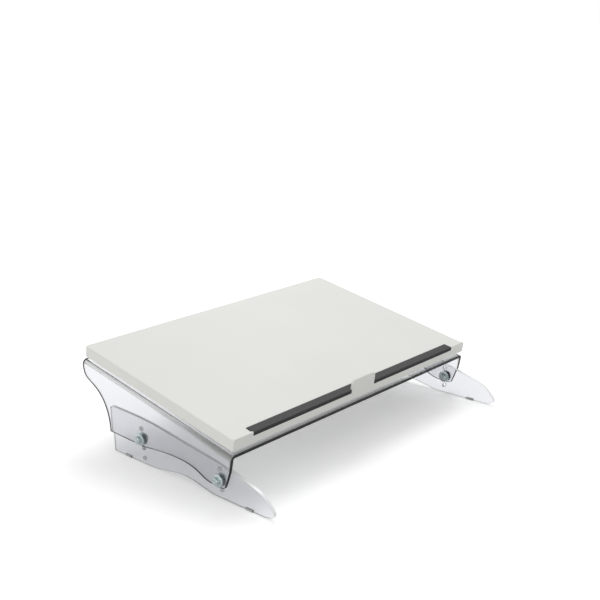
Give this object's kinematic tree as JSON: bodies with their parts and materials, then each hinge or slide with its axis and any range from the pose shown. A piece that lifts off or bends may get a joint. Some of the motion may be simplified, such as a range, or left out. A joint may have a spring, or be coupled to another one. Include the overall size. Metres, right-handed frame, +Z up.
{
  "type": "document holder",
  "caption": "Sloping document board that slides forward on a clear bridge with bolted clear legs, with room for a keyboard under it",
  "frame": {"origin": "middle of the footprint of the whole holder, on the surface that it stands on", "axes": "+X along the width to the user's right, +Y away from the user, +Z up"},
  "size_m": [0.5212, 0.3777, 0.1493],
  "materials": {
    "painted_sheet": "warm off-white powder coat, fine satin",
    "grip_rubber": "dark grey matt rubber",
    "clear_acrylic": "clear cast acrylic with polished edges",
    "zinc_steel": "bright zinc with a faint blue-green tint",
    "plain_steel": "plain machined steel",
    "rail_aluminium": "satin extruded",
    "runner_nylon": "natural low-friction plastic",
    "bonding_tape": "grey foam tape",
    "pad_rubber": "dark matt rubber"
  },
  "bodies": {
    "base": {"bolt_left_front": "zinc_steel", "bolt_left_rear": "zinc_steel", "bolt_right_front": "zinc_steel", "bolt_right_rear": "zinc_steel", "bridge": "clear_acrylic", "inner_washer_left_front": "zinc_steel", "inner_washer_left_rear": "zinc_steel", "inner_washer_right_front": "zinc_steel", "inner_washer_right_rear": "zinc_steel", "leg_left": "clear_acrylic", "leg_right": "clear_acrylic", "outer_washer_left_front": "zinc_steel", "outer_washer_left_rear": "zinc_steel", "outer_washer_right_front": "zinc_steel", "outer_washer_right_rear": "zinc_steel", "pad_left_front": "pad_rubber", "pad_left_rear": "pad_rubber", "pad_right_front": "pad_rubber", "pad_right_rear": "pad_rubber", "rail_left": "rail_aluminium", "rail_right": "rail_aluminium", "rail_tape_left": "bonding_tape", "rail_tape_right": "bonding_tape", "stop_pin_left": "plain_steel", "stop_pin_right": "plain_steel"},
    "board": {"board": "painted_sheet", "grip_strip": "grip_rubber", "runner_left": "runner_nylon", "runner_right": "runner_nylon", "runner_tape_left": "bonding_tape", "runner_tape_right": "bonding_tape"},
    "nut_left_front": {"nut_left_front": "zinc_steel"},
    "nut_left_rear": {"nut_left_rear": "zinc_steel"},
    "nut_right_front": {"nut_right_front": "zinc_steel"},
    "nut_right_rear": {"nut_right_rear": "zinc_steel"}
  },
  "joints": [
    {"name": "board_slide", "type": "slide", "parent": "base", "child": "board", "axis": [0, -0.982, -0.1891], "range_m": [0, 0.15]},
    {"name": "nut_left_front_turn", "type": "hinge", "parent": "base", "child": "nut_left_front", "pos_m": [-0.2546, -0.09432, 0.028], "axis": [-1, 0, 0], "continuous": true},
    {"name": "nut_left_rear_turn", "type": "hinge", "parent": "base", "child": "nut_left_rear", "pos_m": [-0.2546, 0.06468, 0.039], "axis": [-1, 0, 0], "continuous": true},
    {"name": "nut_right_front_turn", "type": "hinge", "parent": "base", "child": "nut_right_front", "pos_m": [0.2546, -0.09432, 0.028], "axis": [1, 0, 0], "continuous": true},
    {"name": "nut_right_rear_turn", "type": "hinge", "parent": "base", "child": "nut_right_rear", "pos_m": [0.2546, 0.06468, 0.039], "axis": [1, 0, 0], "continuous": true}
  ]
}
